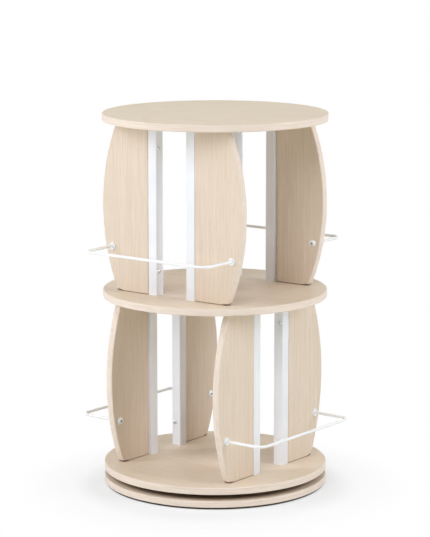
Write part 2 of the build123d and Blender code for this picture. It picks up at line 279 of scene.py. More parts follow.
@dataclass(frozen=True)
class MapleLaminate(Finish):
    """Pale maple foil on board, with a matching tape round the edge that shows."""

    slot: str = "pale_maple"
    grain: GrainRun = GrainRun.UPRIGHT
    edge: TapedEdge = TapedEdge.ROUND_RIM
    middle: float = 0.0
    half_height: float = 0.0
    inner_edge: float = 0.0
    rim_radius: float = 0.230
    bulge_radius: float = 0.41508
    bulge_centre: float = -0.23665

    light: Colour = paint(240, 226, 210)
    dark: Colour = paint(222, 204, 182)
    drift: Noise = Noise(9.0, 1.0, stretch=30.0)
    wander: float = 0.010
    streaks: Noise = Noise(420.0, rough=0.6, stretch=45.0)
    bands: Noise = Noise(90.0, stretch=40.0)
    fibres: Noise = Noise(1100.0, rough=0.6, stretch=40.0, offset=(0.9, 0.2, 0.5))
    tone_weights: Triple = (0.75, 0.15, 0.50)
    tone_span: Span = (0.35, 1.05)
    tick: Colour = paint(196, 172, 144)
    pores: Noise = Noise(900.0, 1.0, span=(0.62, 0.76), stretch=14.0, offset=(0.3, 0.7, 0.1))
    tick_share: float = 0.26
    blush: Colour = paint(231, 209, 191)
    mottle: Noise = Noise(11.0, span=(0.3, 0.75))
    blush_share: float = 0.14

    tape: float = 0.0020
    tape_blur: Span = (-0.0001, 0.0001)
    tape_light: Colour = paint(243, 229, 216)
    tape_dark: Colour = paint(232, 215, 199)
    tape_fibres: Noise = Noise(420.0, 3.0, 0.6, (0.35, 0.75))
    tape_squeeze: float = 0.03
    tape_offset: Triple = (0.31, 0.17, 0.0)
    rim_offset: float = 0.4
    glue: Colour = paint(176, 150, 122)
    glue_start: Span = (-0.0001, 0.00005)
    glue_end: Span = (0.00015, 0.0003)
    glue_share: float = 0.45

    # Painted shade in the gap between the base and the bottom shelf.
    slit_shade: Colour = paint(146, 126, 104)
    slit_shade_levels: Span = (0.0177, 0.0308)
    slit_shade_depths: Span = (0.004, 0.030)
    slit_shade_strength: float = 0.8
    # Painted shade where the panels meet their posts and boards.
    joint: Colour = paint(88, 64, 38)
    joint_shade_depths: Span = (0.0007, 0.0021)
    joint_squeeze: float = 3.0
    joint_shade_opening: float = 0.0024
    opening_depths: Span = (0.004, 0.018)
    joint_shade_strength: float = 0.80

    rough: Span = (0.40, 0.50)
    specular: float = 0.15
    streak_relief: float = 1.2
    glue_groove: float = 0.8
    relief: Span = (0.50, 0.0006)

    def depth_from_edge(self, tree: ShaderTree) -> Socket:
        """How far a point is inside the taped edge.

        Args:
            tree: Material being made.

        Returns:
            The distance in metres.
        """
        x, y, z = tree.parts(tree.place)
        if self.edge is TapedEdge.ROUND_RIM:
            return tree.minus(self.rim_radius, tree.length(x, y))
        along = x if self.edge is TapedEdge.BULGE_ALONG_X else y
        out = tree.minus(tree.maths("ABSOLUTE", along), self.bulge_centre)
        return tree.minus(self.bulge_radius, tree.length(out, tree.minus(z, self.middle)))

    def tape_place(self, tree: ShaderTree) -> Socket:
        """Coordinates whose long axis follows the edge.

        Args:
            tree: Material being made.

        Returns:
            Coordinates for the tape's grain.
        """
        if self.edge is not TapedEdge.ROUND_RIM:
            return tree.stretched(tree.place, (1.0, 1.0, self.tape_squeeze), self.tape_offset)
        x, y, z = tree.parts(tree.place)
        angle = tree.maths("ARCTAN2", y, x)
        return tree.joined(tree.times(angle, self.tape_squeeze * self.rim_radius), self.rim_offset, z)

    def slit_shade_share(self, tree: ShaderTree, depth: Socket) -> Socket:
        """How much painted shade darkens a point in the gap over the base, more the further in from the rim.

        Args:
            tree: Material being made.
            depth: Distance from the rim.

        Returns:
            The share of painted shade.
        """
        _, _, z = tree.parts(tree.place)
        low, high = self.slit_shade_levels
        inside = tree.times(tree.maths("GREATER_THAN", z, low), tree.maths("LESS_THAN", z, high))
        return tree.times(inside, tree.spread(depth, self.slit_shade_depths, 0.0, self.slit_shade_strength))

    def joint_shade_share(self, tree: ShaderTree, depth: Socket) -> Socket:
        """Painted shade at a panel's ends by the boards, and in a tighter band beside its post.

        At the lower end the band of painted shade widens towards the outer edge.

        Args:
            tree: Material being made.
            depth: Distance from the bulged edge.

        Returns:
            The share of painted shade.
        """
        x, y, z = tree.parts(tree.place)
        along = tree.maths("ABSOLUTE", x if self.edge is TapedEdge.BULGE_ALONG_X else y)
        beside = tree.times(tree.minus(along, self.inner_edge), self.joint_squeeze)
        up = tree.maths("ABSOLUTE", tree.minus(z, self.middle))
        opening = tree.times(tree.maths("LESS_THAN", z, self.middle),
                             tree.spread(depth, self.opening_depths, self.joint_shade_opening, 0.0))
        below = tree.minus(tree.minus(self.half_height, up), opening)
        near = tree.maths("MINIMUM", beside, below)
        return tree.spread(near, self.joint_shade_depths, self.joint_shade_strength, 0.0)

    def sockets(self, tree: ShaderTree) -> Values:
        """Lays foil, tape and glue line over each other, with painted shade in joints and over the base.

        Args:
            tree: Material being made.

        Returns:
            Inputs of the shader, by name.
        """
        drift = tree.noise(self.drift, grain=self.grain)
        wander = tree.out("ShaderNodeVectorMath", {0: tree.joined(drift, drift, drift), "Scale": self.wander},
                          operation="SCALE")
        run = tree.out("ShaderNodeVectorMath", {0: tree.place, 1: wander}, operation="ADD")
        streaks, bands, fibres, pores = (tree.noise(pattern, run, self.grain) for pattern in (
            self.streaks, self.bands, self.fibres, self.pores))
        tone = tree.weighted(*zip((streaks, bands, fibres), self.tone_weights))
        face = tree.mixed(tree.spread(tone, self.tone_span), self.light, self.dark)
        ticks = tree.times(tree.spread(pores, self.pores.span), self.tick_share)
        face = tree.mixed(ticks, face, self.tick)
        mottle = tree.noise(self.mottle)
        face = tree.mixed(tree.spread(mottle, self.mottle.span, 0.0, self.blush_share), face, self.blush)

        tape_tone = tree.noise(self.tape_fibres, self.tape_place(tree))
        tape = tree.mixed(tree.spread(tape_tone, self.tape_fibres.span), self.tape_light, self.tape_dark)
        depth = self.depth_from_edge(tree)
        past = tree.minus(depth, self.tape)
        glue = tree.times(tree.spread(past, self.glue_start), tree.spread(past, self.glue_end, 1.0, 0.0))
        colour = tree.mixed(tree.spread(past, self.tape_blur, 1.0, 0.0), face, tape)
        colour = tree.mixed(tree.times(glue, self.glue_share), colour, self.glue)
        if self.edge is TapedEdge.ROUND_RIM:
            # Painted shade in the gap over the base.
            colour = tree.mixed(self.slit_shade_share(tree, depth), colour, self.slit_shade)
        else:
            # Painted shade where the panels meet their posts and boards.
            colour = tree.mixed(self.joint_shade_share(tree, depth), colour, self.joint)
        relief = tree.weighted((fibres, 1.0), (streaks, self.streak_relief), (glue, -self.glue_groove))
        return {
            "Base Color": colour,
            "Roughness": tree.spread(fibres, self.fibres.span, *self.rough),
            "Specular IOR Level": self.specular,
            "Normal": tree.bump(relief, *self.relief),
        }


@dataclass(frozen=True)
class TwoToneFinish(Finish):
    """Two tones in patches, painted shade in recesses, a varying gloss, and a relief that follows it or other
    marks.
    """

    light: Colour
    dark: Colour
    tone: Noise
    gloss: Noise
    rough: Span
    relief: Span | None = None
    marks: Noise | None = None
    metal: float = 0.0
    specular: float = 0.5
    recess: Colour | None = None

    def sockets(self, tree: ShaderTree) -> Values:
        """Mixes the tones and sets gloss and relief.

        Args:
            tree: Material being made.

        Returns:
            Inputs of the shader, by name.
        """
        patches = tree.spread(tree.noise(self.tone), self.tone.span)
        colour = tree.mixed(patches, self.light, self.dark)
        # Painted shade down in sockets and cross recesses, where the attribute marks them.
        if self.recess:
            sunk = tree.node("ShaderNodeAttribute", attribute_name=RECESS).outputs["Fac"]
            colour = tree.mixed(sunk, colour, self.recess)
        sheen = tree.noise(self.gloss)
        values: Values = {
            "Base Color": colour,
            "Metallic": self.metal,
            "Roughness": tree.spread(sheen, self.gloss.span, *self.rough),
            "Specular IOR Level": self.specular,
        }
        if self.relief:
            height = tree.noise(self.marks) if self.marks else sheen
            values["Normal"] = tree.bump(height, *self.relief)
        return values


@dataclass(frozen=True)
class PowderCoat(TwoToneFinish):
    """White powder coat on steel, with a faint orange peel."""

    name: str = "white_powder_coat"
    slot: str = "white_paint"
    light: Colour = paint(246, 248, 252)
    dark: Colour = paint(241, 243, 248)
    tone: Noise = Noise(14.0)
    gloss: Noise = Noise(620.0, rough=0.45)
    rough: Span = (0.30, 0.38)
    relief: Span = (0.10, 0.0003)
    specular: float = 0.4


@dataclass(frozen=True)
class PlatedSteel(TwoToneFinish):
    """Bright zinc plate on small fasteners, with turning marks, dull patches and painted shade in recesses.
    """

    name: str = "zinc_plate"
    slot: str = "zinc_steel"
    light: Colour = paint(232, 234, 237)
    dark: Colour = paint(206, 209, 213)
    tone: Noise = Noise(260.0, 3.0, 0.6, (0.35, 0.7))
    gloss: Noise = Noise(260.0, 3.0, 0.6, (0.3, 0.75))
    rough: Span = (0.24, 0.40)
    relief: Span = (0.06, 0.0001)
    marks: Noise = Noise(2600.0, 1.0)
    metal: float = 1.0
    # Painted shade down in sockets and cross recesses.
    recess: Colour = paint(150, 152, 158)


@dataclass(frozen=True)
class PolishedSteel(TwoToneFinish):
    """Bearing balls, polished, with a film of grease."""

    name: str = "bearing_steel"
    slot: str = "ball_steel"
    light: Colour = paint(206, 207, 210)
    dark: Colour = paint(188, 182, 168)
    tone: Noise = Noise(320.0, 3.0, span=(0.45, 0.7))
    gloss: Noise = Noise(320.0, 3.0, span=(0.4, 0.75))
    rough: Span = (0.08, 0.26)
    metal: float = 1.0


@dataclass(frozen=True)
class MouldedPlastic(TwoToneFinish):
    """Plain moulded plastic or rubber with a fine grained skin."""

    tone: Noise = Noise(90.0, 3.0, 0.6, (0.4, 0.75))
    gloss: Noise = Noise(1500.0)
    rough: Span = (0.45, 0.60)
    relief: Span = (0.12, 0.0002)
    specular: float = 0.4


@dataclass(frozen=True)
class BareBeech(TwoToneFinish):
    """Bare beech of the dowels, with its short dark rays."""

    name: str = "bare_beech"
    slot: str = "dowel_beech"
    light: Colour = paint(222, 192, 152)
    dark: Colour = paint(190, 154, 112)
    tone: Noise = Noise(1400.0, span=(0.4, 0.7), stretch=25 / 3)
    gloss: Noise = Noise(1400.0, stretch=25 / 3)
    rough: Span = (0.60, 0.75)
    relief: Span = (0.2, 0.0002)


@dataclass(frozen=True)
class GalvanisedSteel(Finish):
    """Pressed sheet steel with the flakes of a zinc bath."""

    name: str = "galvanised_sheet"
    slot: str = "race_steel"
    bright: Colour = paint(190, 193, 196)
    dull: Colour = paint(150, 153, 157)
    flakes: float = 210.0
    film: Noise = Noise(60.0, 3.0)
    gloss_span: Span = (0.3, 1.5)
    rough: Span = (0.30, 0.52)
    relief: Span = (0.08, 0.0003)

    def sockets(self, tree: ShaderTree) -> Values:
        """Sets flakes of two tones under a thin film.

        Args:
            tree: Material being made.

        Returns:
            Inputs of the shader, by name.
        """
        flakes = tree.node("ShaderNodeTexVoronoi", {"Vector": tree.place, "Scale": self.flakes}, feature="F1")
        flake, _, _ = tree.parts(flakes.outputs["Color"])
        film = tree.noise(self.film)
        return {
            "Base Color": tree.mixed(flake, self.bright, self.dull),
            "Metallic": 1.0,
            "Roughness": tree.spread(tree.maths("ADD", flake, film), self.gloss_span, *self.rough),
            "Normal": tree.bump(film, *self.relief),
        }


def dress(node: str, finish: Finish) -> None:
    """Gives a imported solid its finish.

    Args:
        node: Name of the solid.
        finish: Its finish.
    """
    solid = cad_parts[node]
    solid.data.materials.clear()
    solid.data.materials.append(finish.material())
    log.info("solid %s in %s", node, finish.name)


def stand(name: str, data: bpy.types.ID | bmesh.types.BMesh) -> Piece:
    """Puts a mesh, lamp or camera into the scene.

    Args:
        name: Name of the new object.
        data: What it holds; a mesh in the making is finished and freed.

    Returns:
        The object, at the origin.
    """
    if isinstance(data, bmesh.types.BMesh):
        work, data = data, bpy.data.meshes.new(name)
        work.to_mesh(data)
        work.free()
    holder = bpy.data.objects.new(name, data)
    bpy.context.scene.collection.objects.link(holder)
    return holder


def keep_result(piece: Piece, modifier: bpy.types.Modifier) -> None:
    """Turns what a modifier makes into the piece's own plain mesh.

    Args:
        piece: Piece that carries the modifier.
        modifier: Modifier, which is removed.
    """
    seen = piece.evaluated_get(bpy.context.evaluated_depsgraph_get())
    mesh = bpy.data.meshes.new_from_object(seen)
    piece.modifiers.remove(modifier)
    before, piece.data = piece.data, mesh
    bpy.data.meshes.remove(before)
    mesh.name = piece.name


def settle(piece: Piece, body: str, slot: str, *nodes: str) -> None:
    """Lets a new piece move with its body and stand for its solids.

    Args:
        piece: The new piece.
        body: Body that it moves with.
        slot: Material slot of the record; not used.
        nodes: Solids that it stands for.
    """
    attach(piece, body)
    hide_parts(*nodes)
    log.info("piece %s, %d faces, for %s", piece.name, len(piece.data.polygons), ", ".join(nodes))


def discard(helper: Piece) -> None:
    """Removes a pattern or cutter once it has done its work.

    Args:
        helper: What to remove.
    """
    mesh = helper.data
    bpy.data.objects.remove(helper)
    bpy.data.meshes.remove(mesh)


class GeometryTree(NodeTree):
    """A Geometry Nodes tree with named inputs, which makes plain meshes."""

    def __init__(self, name: str) -> None:
        """Starts a tree with one geometry output, and inputs for the finish, level and turn.

        Args:
            name: Name of the tree.
        """
        super().__init__(bpy.data.node_groups.new(name, "GeometryNodeTree"))
        self.tree.interface.new_socket("Geometry", in_out="OUTPUT", socket_type="NodeSocketGeometry")
        self.entry = self.node("NodeGroupInput")
        self.identifiers: dict[str, str] = {}
        self.finish = self.input("Finish", "NodeSocketMaterial")
        self.level, self.turn = self.input("Level"), self.input("Turn")

    def input(self, name: str, kind: str = "NodeSocketFloat") -> Socket:
        """Adds a named input.

        Args:
            name: Its name.
            kind: Its socket type.

        Returns:
            The socket that gives its value in the tree.
        """
        socket = self.tree.interface.new_socket(name, in_out="INPUT", socket_type=kind)
        self.identifiers[name] = socket.identifier
        return self.entry.outputs[name]

    def close(self, geometry: Socket) -> None:
        """Turns what the tree has made about the axis, lifts it and ends in plain geometry with its finish.

        Args:
            geometry: What the tree has made.
        """
        placed = self.out("GeometryNodeTransform", {
            "Geometry": geometry,
            "Translation": self.joined(0.0, 0.0, self.level),
            "Rotation": self.joined(0.0, 0.0, self.turn),
        })
        plain = self.out("GeometryNodeRealizeInstances", {"Geometry": placed})
        done = self.out("GeometryNodeSetMaterial", {"Geometry": plain, "Material": self.finish})
        self.node("NodeGroupOutput", {0: done})

    def close_copies(self, places: Socket, facing: Socket) -> None:
        """Sets the pattern at places, with its axis along a direction, and ends the tree.

        Args:
            places: Points.
            facing: Direction at each point.
        """
        pattern = self.input("Pattern", "NodeSocketObject")
        instance = self.node("GeometryNodeObjectInfo", {"Object": pattern, "As Instance": True})
        self.close(self.out("GeometryNodeInstanceOnPoints", {
            "Points": places,
            "Instance": instance.outputs["Geometry"],
            "Rotation": self.out("FunctionNodeAlignRotationToVector", {"Vector": facing}, axis="Z"),
        }))

    def make(self, name: str, values: dict[str, Any]) -> Piece:
        """Runs the tree and keeps its result as a plain mesh.

        Args:
            name: Name of the piece.
            values: Values of the named inputs.

        Returns:
            The piece, at the origin.
        """
        piece = stand(name, bpy.data.meshes.new(name))
        modifier = piece.modifiers.new(name, "NODES")
        modifier.node_group = self.tree
        for label, value in values.items():
            modifier[self.identifiers[label]] = value
        keep_result(piece, modifier)
        return piece


class Outline(Enum):
    """Outline of one ring of a turned piece."""

    ROUND = "round"
    HEXAGON = "hexagon, measured to its corners"
    CROSS = "cross, measured to the ends of its arms"

    def reach(self, angle: float) -> float:
        """How far the outline reaches at an angle, as a share of its radius.

        Args:
            angle: Angle in radians.

        Returns:
            The share, 1 at the most.
        """
        if self is Outline.HEXAGON:
            off = (angle % (math.pi / 3)) - math.pi / 6
            return math.cos(math.pi / 6) / math.cos(off)
        if self is Outline.CROSS:
            off = (angle + math.pi / 4) % (math.pi / 2) - math.pi / 4
            half_arm, least = math.radians(15), 1e-6
            side = math.sin(half_arm) / max(abs(math.sin(off)), least)
            return min(math.cos(half_arm) / math.cos(off), side)
        return 1.0


# Radius and height of a ring and, where it isn't round, its outline.
Ring = tuple[float, float] | tuple[float, float, Outline]


def skin(work: bmesh.types.BMesh, lower: Points, upper: Points) -> None:
    """Closes the strip between two rings of points, either of which may be a single point.

    Args:
        work: Mesh being made.
        lower: Points of the first ring.
        upper: Points of the second ring.
    """
    steps = max(len(lower), len(upper))
    for step in range(steps):
        after = (step + 1) % steps
        corners = [points[index] for points, order in ((lower, (step, after)), (upper, (after, step)))
                   for index in (order if len(points) > 1 else (0,))]
        work.faces.new(corners).smooth = True


@dataclass(frozen=True)
class TurnedPiece:
    """Pattern of a small piece about +Z, by the radius, height and outline of its rings in millimetres."""

    name: str
    rings: Sequence[Ring]
    steps: int = 48
    bored: bool = False
    crease: float = 32.0

    def build(self) -> Piece:
        """Builds the pattern as an object that Geometry Nodes can repeat.

        Returns:
            The pattern, which is removed once its copies are made.
        """
        work = bmesh.new()
        recess = work.verts.layers.float.new(RECESS)
        loops = [self.loop(work, *ring) for ring in self.rings]
        # Points past the lip of a socket or cross are marked for painted shade.
        for point in chain(*loops[self.recess_start():]):
            point[recess] = 1.0
        for lower, upper in zip(loops, loops[1:] + (loops[:1] if self.bored else [])):
            skin(work, lower, upper)
        bmesh.ops.recalc_face_normals(work, faces=work.faces)
        pattern = stand(self.name, work)
        pattern.data.set_sharp_from_angle(angle=math.radians(self.crease))
        return pattern

    def recess_start(self) -> int:
        """Number of the first ring down in a socket or cross, past its lip, or the count of rings."""
        shaped = [number for number, ring in enumerate(self.rings) if len(ring) > 2]
        return shaped[0] + 1 if shaped else len(self.rings)

    def loop(self, work: bmesh.types.BMesh, radius: float, height: float,
             outline: Outline = Outline.ROUND) -> Points:
        """Adds the points of one ring.

        Args:
            work: Mesh being made.
            radius: Radius of the ring; 0 is a single point.
            height: Its height.
            outline: Its outline.

        Returns:
            Its points.
        """
        angles = [2 * math.pi * step / self.steps for step in range(self.steps if radius else 1)]
        reaches = [radius / MM_IN_METRE * outline.reach(angle) for angle in angles]
        return [work.verts.new((reach * math.cos(angle), reach * math.sin(angle), height / MM_IN_METRE))
                for reach, angle in zip(reaches, angles)]


class Tier(Enum):
    """The two tiers: name, turn from the upper one, near and far wall, ends of a wall and its axis."""

    LOWER = ("lower", math.pi / 2, ("right", "left"), ("front", "back"), 1)
    UPPER = ("upper", 0.0, ("front", "back"), ("left", "right"), 0)

    def __init__(self, label: str, turn: float, sides: tuple[str, str], ends: tuple[str, str],
                 axis: int) -> None:
        """Names the parts of the value.

        Args:
            label: Name of the tier.
            turn: Its turn about the axis, in radians.
            sides: Names of its near and far wall.
            ends: Names of the ends of a wall.
            axis: Axis of the frame that its walls run along, 0 or 1.
        """
        self.label, self.turn, self.sides, self.axis = label, turn, sides, axis
        self.corners = [f"{side}_{end}" for side in sides for end in ends]

    def rail_line(self) -> tuple[float, float, float, float]:
        """Reads from their solids where the rails of the tier run.

        Returns:
            Radius of the wire, how far its middle line reaches along the wall and out from the axis, and
            its level.
        """
        low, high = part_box("upper_rail_front")
        wire = (high.z - low.z) / 2
        bottom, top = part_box(f"{self.label}_rail_{self.sides[0]}")
        return wire, high.x - wire, -low.y - wire, (bottom.z + top.z) / 2


@dataclass(frozen=True)
class Fitting:
    """A small piece that repeats: its name, the solid that it stands for, its pattern, finish and body."""

    name: str
    node: str
    pattern: TurnedPiece
    finish: Finish
    body: str = "case"


class Repeats:
    """The two ways in which small pieces repeat on the bookcase."""

    def __init__(self) -> None:
        """Builds the trees for the corners of a tier and for a circle."""
        self.corners = self.corner_tree()
        self.circle = self.circle_tree()

    @staticmethod
    def corner_tree() -> GeometryTree:
        """Tree that sets a pattern at the four like corners of a tier, in one or more rows.

        Returns:
            The tree.
        """
        tree = GeometryTree("at_tier_corners")
        along, across = tree.input("Along"), tree.input("Across")
        facing = tree.input("Facing", "NodeSocketVector")
        rows, rise = tree.input("Rows", "NodeSocketInt"), tree.input("Row Rise")
        size = {"Size X": tree.times(along, 2.0), "Size Y": tree.times(across, 2.0)}
        grid = tree.out("GeometryNodeMeshGrid", {**size, "Vertices X": 2, "Vertices Y": 2})
        offset = tree.joined(0.0, 0.0, rise)
        column = tree.out("GeometryNodeMeshLine", {"Count": rows, "Offset": offset}, mode="OFFSET")
        stacked = tree.out("GeometryNodeInstanceOnPoints", {"Points": column, "Instance": grid})
        places = tree.out("GeometryNodeRealizeInstances", {"Geometry": stacked})
        x, y, _ = tree.parts(tree.out("GeometryNodeInputPosition"))
        signs = tree.joined(tree.maths("SIGN", x), tree.maths("SIGN", y), 1.0)
        outwards = tree.out("ShaderNodeVectorMath", {0: facing, 1: signs}, operation="MULTIPLY")
        tree.close_copies(places, outwards)
        return tree

    @staticmethod
    def circle_tree() -> GeometryTree:
        """Tree that sets a pattern round the turning axis.

        Returns:
            The tree.
        """
        tree = GeometryTree("round_the_axis")
        count, radius = tree.input("Count", "NodeSocketInt"), tree.input("Radius")
        places = tree.out("GeometryNodeMeshCircle", {"Vertices": count, "Radius": radius}, fill_type="NONE")
        tree.close_copies(places, tree.input("Facing", "NodeSocketVector"))
        return tree

    def set_out(self, fitting: Fitting, tree: GeometryTree, values: dict[str, Any]) -> None:
        """Repeats a fitting by a tree, as one piece.

        Args:
            fitting: What repeats.
            tree: How it repeats.
            values: Values of the tree's other inputs.
        """
        pattern, finish = fitting.pattern.build(), fitting.finish.material()
        piece = tree.make(fitting.name, {"Finish": finish, "Pattern": pattern, **values})
        settle(piece, fitting.body, fitting.finish.slot, fitting.node)
        discard(pattern)

    def at_corners(self, fitting: Fitting, tier: Tier, place: Triple, facing: Triple,
                   rows: int = 1, rise: float = 0.0) -> None:
        """Sets a fitting at the four like corners of a tier.

        Args:
            fitting: What is set.
            tier: Tier that it belongs to.
            place: Distance along and across the wall, and level.
            facing: Way that the pattern's axis points, outwards where it is positive.
            rows: How many rows there are.
            rise: Height from row to row.
        """
        where = dict(zip(("Along", "Across", "Level"), place))
        self.set_out(fitting, self.corners, {
            **where, "Facing": facing, "Rows": rows, "Row Rise": rise, "Turn": tier.turn})

    def round_axis(self, fitting: Fitting, count: int, radius: float, level: float,
                   start: float = 0.0, facing: Triple = UP) -> None:
        """Sets a fitting round the turning axis.

        Args:
            fitting: What is set.
            count: How many there are.
            radius: Radius of their circle.
            level: Height of their origins.
            start: Angle of the first one.
            facing: Way that the pattern's axis points.
        """
        self.set_out(fitting, self.circle, {
            "Count": count, "Radius": radius, "Facing": facing, "Level": level, "Turn": start})


@dataclass
class RoundBoards:
    """The base and the three boards that turn above it, with caps over the bolts."""

    repeats: Repeats
    boards: tuple[str, ...] = ("base_board", "bottom_shelf", "middle_shelf", "top_board")
    capped: tuple[str, ...] = ("middle_shelf", "top_board")
    laminate: MapleLaminate = MapleLaminate("maple_round_boards", grain=GrainRun.ALONG_X)
    cap_finish: MouldedPlastic = MouldedPlastic(
        "maple_caps", "maple_cap", paint(232, 217, 198), paint(223, 206, 185), gloss=Noise(900.0))
    cap: TurnedPiece = TurnedPiece("bolt_cap", (
        (0, 0.0), (8.0, 0.0), (8.0, 0.45), (7.85, 0.68), (7.5, 0.76), (0, 0.8)))

    def build(self) -> None:
        """Dresses the boards and sets the caps."""
        for board in self.boards:
            dress(board, self.laminate)
        for tier, board in zip(Tier, self.capped):
            caps = Fitting(f"bolt_caps_{board}", f"{board}_caps", self.cap, self.cap_finish)
            self.repeats.at_corners(caps, tier, (*POST_PLACE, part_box(caps.node)[0].z), UP)


@dataclass(frozen=True)
class BulgedPanel:
    """Outline of a panel along and up its wall, with every arris rounded over."""

    bulge_radius: float
    bulge_centre: float
    rail_bolt: Span
    arris: float = 0.0022
    corner: float = 0.0075
    arris_steps: int = 5
    corner_steps: int = 8
    bulge_steps: int = 56
    bolt_bore: float = 0.00215
    dowel_shares: Span = (0.2, 0.8)
    dowel_bore: Span = (0.00415, 0.0205)
    screw_bore: Span = (0.00235, 0.0305)
    bore_sides: int = 32
    overrun: float = 0.001

    def outline(self, inner: float, half: float, inset: float) -> list[Span]:
        """Points of the outline, moved inwards.

        Args:
            inner: Where the panel starts along the wall, beside its post.
            half: Half its height.
            inset: How far the outline is moved in.

        Returns:
            Distances along the wall and up from the panel's middle.
        """
        half, radius, corner = half - inset, self.bulge_radius - inset, self.corner - inset
        rise = half - corner
        reach = math.sqrt((radius - corner) ** 2 - rise ** 2)
        lean = math.atan2(rise, reach)
        points = [(inner + inset, -half)]
        for step in range(self.corner_steps + 1):
            angle = -math.pi / 2 + (math.pi / 2 - lean) * step / self.corner_steps
            along = self.bulge_centre + reach + corner * math.cos(angle)
            points.append((along, corner * math.sin(angle) - rise))
        for step in range(1, self.bulge_steps // 2):
            angle = lean * (2 * step / self.bulge_steps - 1)
            points.append((self.bulge_centre + radius * math.cos(angle), radius * math.sin(angle)))
        points.append((self.bulge_centre + radius, 0.0))
        return points + [(along, -up) for along, up in reversed(points[:-1])]

    def build(self, node: str, axis: int, material: Material) -> Piece:
        """Builds the panel in the place of its solid.

        Args:
            node: Solid that it stands for.
            axis: Axis of the frame that its wall runs along, 0 or 1.
            material: Its finish.

        Returns:
            The panel.
        """
        low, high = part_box(node)
        side = math.copysign(1.0, low[axis] + high[axis])
        inner = min(abs(low[axis]), abs(high[axis]))
        half, middle = (high.z - low.z) / 2, (high.z + low.z) / 2
        near, far = low[1 - axis], high[1 - axis]

        def at(along: float, across: float, up: float) -> Triple:
            """Place in the frame of a point along, across and up the wall."""
            flat = (side * along, across) if axis == 0 else (across, side * along)
            return (*flat, middle + up)

        turns = [math.pi / 2 * step / self.arris_steps for step in range(self.arris_steps + 1)]
        sections = [(near + self.arris * (1 - math.cos(turn)), self.arris * (1 - math.sin(turn)))
                    for turn in turns]
        sections += [(near + far - across, inset) for across, inset in reversed(sections)]
        work = bmesh.new()
        loops = [[work.verts.new(at(along, across, up)) for along, up in self.outline(inner, half, inset)]
                 for across, inset in sections]
        for first, second in zip(loops, loops[1:]):
            skin(work, first, second)
        for face in (loops[0], loops[-1]):
            work.faces.new(face)
        bmesh.ops.recalc_face_normals(work, faces=work.faces)
        panel = stand(f"bulged_{node}", work)
        panel.data.materials.append(material)
        bores = self.bores(inner, half, near, far)
        self.drill(panel, [(Vector(at(*start)), Vector(at(*end)), radius) for start, end, radius in bores])
        return panel

    def bores(self, inner: float, half: float, near: float, far: float) -> list[tuple[Triple, Triple, float]]:
        """Holes for the rail bolt, the dowels and the screws.

        Args:
            inner: Where the panel starts along the wall, beside its post.
            half: Half its height.
            near: One face, across the wall.
            far: The other face.

        Returns:
            Mouth, end and radius of each hole, along, across and up the wall.
        """
        core = (near + far) / 2
        along, up = self.rail_bolt
        holes = [((along, near - self.overrun, up), (along, far + self.overrun, up), self.bolt_bore)]
        reach = self.bulge_centre + math.sqrt(self.bulge_radius ** 2 - half ** 2)
        dowel, dowel_depth = self.dowel_bore
        screw, screw_depth = self.screw_bore
        for end in (-1, 1):
            for share in self.dowel_shares:
                along = inner + share * (reach - inner)
                holes.append(((along, core, end * (half + self.overrun)),
                              (along, core, end * (half - dowel_depth)), dowel))
            up = end * (half - SCREW_INSET)
            holes.append(((inner - self.overrun, core, up), (inner + screw_depth, core, up), screw))
        return holes

    def drill(self, panel: Piece, bores: list[tuple[Vector, Vector, float]]) -> None:
        """Cuts the holes.

        Args:
            panel: Panel to cut.
            bores: Mouth, end and radius of each hole, in the frame.
        """
        work = bmesh.new()
        for start, end, radius in bores:
            run = end - start
            turn = run.to_track_quat("Z", "Y").to_matrix().to_4x4()
            bmesh.ops.create_cone(
                work, cap_ends=True, segments=self.bore_sides, radius1=radius, radius2=radius,
                depth=run.length, matrix=Matrix.Translation((start + end) / 2) @ turn)
        drills = stand("panel_bores", work)
        modifier = panel.modifiers.new("bores", "BOOLEAN")
        modifier.operation = "DIFFERENCE"
        modifier.object = drills
        keep_result(panel, modifier)
        discard(drills)


@dataclass
class Walls:
    """Bulged panels and white posts of both tiers, with the dowels and plugs inside them."""

    coat: PowderCoat = PowderCoat()
    plate: PlatedSteel = PlatedSteel()
    beech: BareBeech = BareBeech()

    def build(self) -> None:
        """Makes the panels, and dresses posts, plugs and dowels."""
        for tier in Tier:
            low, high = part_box(f"{tier.label}_panel_{tier.corners[0]}")
            laminate = MapleLaminate(
                f"maple_{tier.label}_panels",
                edge=TapedEdge.BULGE_ALONG_Y if tier is Tier.LOWER else TapedEdge.BULGE_ALONG_X,
                middle=(low.z + high.z) / 2,
                half_height=(high.z - low.z) / 2,
                inner_edge=min(abs(low[tier.axis]), abs(high[tier.axis])))
            _, along, _, level = tier.rail_line()
            bolt_place = (along, level - laminate.middle)
            shape = BulgedPanel(laminate.bulge_radius, laminate.bulge_centre, bolt_place)
            for corner in tier.corners:
                node = f"{tier.label}_panel_{corner}"
                panel = shape.build(node, tier.axis, laminate.material())
                settle(panel, "case", laminate.slot, node)
                dress(f"{tier.label}_post_{corner}", self.coat)
            dress(f"{tier.label}_post_plugs", self.plate)
            dress(f"{tier.label}_dowels", self.beech)


